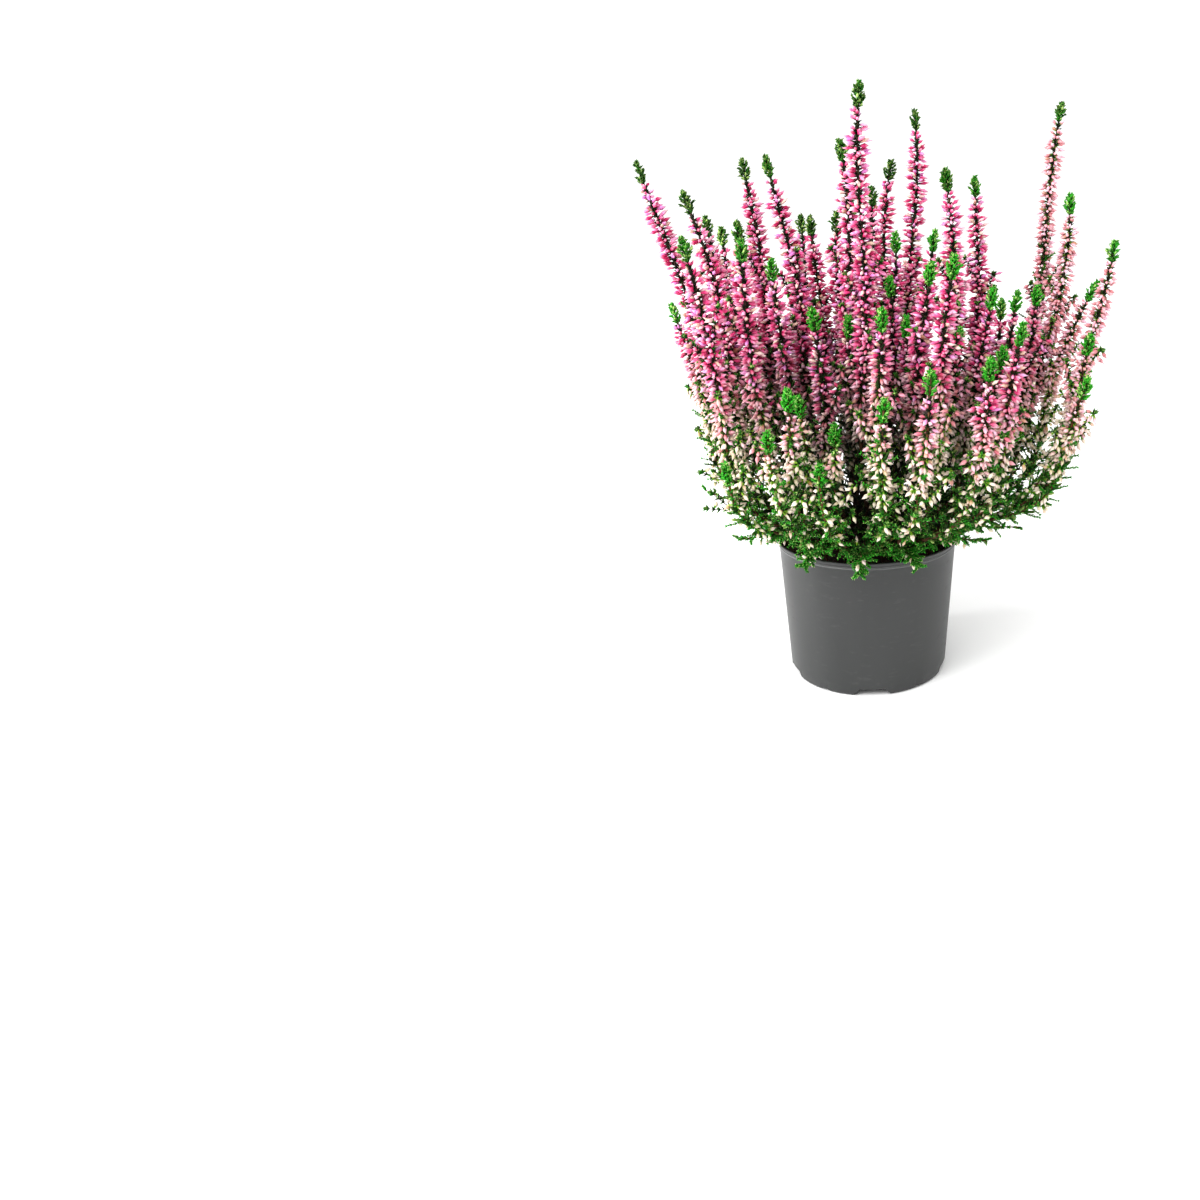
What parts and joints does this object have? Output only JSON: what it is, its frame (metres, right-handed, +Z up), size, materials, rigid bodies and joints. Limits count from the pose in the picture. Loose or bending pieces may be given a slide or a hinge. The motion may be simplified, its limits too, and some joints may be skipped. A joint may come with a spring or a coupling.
{
  "type": "potted heather",
  "caption": "Bud-flowering heather in a round nursery pot: upright spikes of pointed pink buds with green leafy tips, cream buds and leafy shoots at the base.",
  "frame": {"origin": "centre of the pot's flat underside, on the surface it stands on", "axes": "+Z up along the pot's axis, -Y towards the viewer of the picture, +X to the viewer's right"},
  "size_m": [0.2706, 0.2291, 0.335],
  "materials": {
    "pot_plastic": "satin mid-grey moulded plastic",
    "peat": "rough dark peat with fibres",
    "flower_spikes": "pink buds on dark woody stems with green scale leaves and leafy tips",
    "foliage": "green needle-like scale leaves"
  },
  "bodies": {
    "root": {"pot": "pot_plastic", "soil": "peat", "flower_stem_01": "flower_spikes", "flower_stem_02": "flower_spikes", "flower_stem_03": "flower_spikes", "flower_stem_04": "flower_spikes", "flower_stem_05": "flower_spikes", "flower_stem_06": "flower_spikes", "flower_stem_07": "flower_spikes", "flower_stem_08": "flower_spikes", "flower_stem_09": "flower_spikes", "flower_stem_10": "flower_spikes", "flower_stem_11": "flower_spikes", "flower_stem_12": "flower_spikes", "flower_stem_13": "flower_spikes", "flower_stem_14": "flower_spikes", "flower_stem_15": "flower_spikes", "flower_stem_16": "flower_spikes", "flower_stem_17": "flower_spikes", "flower_stem_18": "flower_spikes", "flower_stem_19": "flower_spikes", "flower_stem_20": "flower_spikes", "flower_stem_21": "flower_spikes", "flower_stem_22": "flower_spikes", "flower_stem_23": "flower_spikes", "flower_stem_24": "flower_spikes", "flower_stem_25": "flower_spikes", "flower_stem_26": "flower_spikes", "flower_stem_27": "flower_spikes", "flower_stem_28": "flower_spikes", "flower_stem_29": "flower_spikes", "flower_stem_30": "flower_spikes", "flower_stem_31": "flower_spikes", "flower_stem_32": "flower_spikes", "flower_stem_33": "flower_spikes", "flower_stem_34": "flower_spikes", "flower_stem_35": "flower_spikes", "flower_stem_36": "flower_spikes", "flower_stem_37": "flower_spikes", "flower_stem_38": "flower_spikes", "flower_stem_39": "flower_spikes", "flower_stem_40": "flower_spikes", "flower_stem_41": "flower_spikes", "flower_stem_42": "flower_spikes", "flower_stem_43": "flower_spikes", "flower_stem_44": "flower_spikes", "flower_stem_45": "flower_spikes", "flower_stem_46": "flower_spikes", "leafy_shoot_01": "foliage", "leafy_shoot_02": "foliage", "leafy_shoot_03": "foliage", "leafy_shoot_04": "foliage", "leafy_shoot_05": "foliage", "leafy_shoot_06": "foliage", "leafy_shoot_07": "foliage", "leafy_shoot_08": "foliage", "leafy_shoot_09": "foliage", "leafy_shoot_10": "foliage", "leafy_shoot_11": "foliage", "leafy_shoot_12": "foliage"}
  },
  "joints": []
}
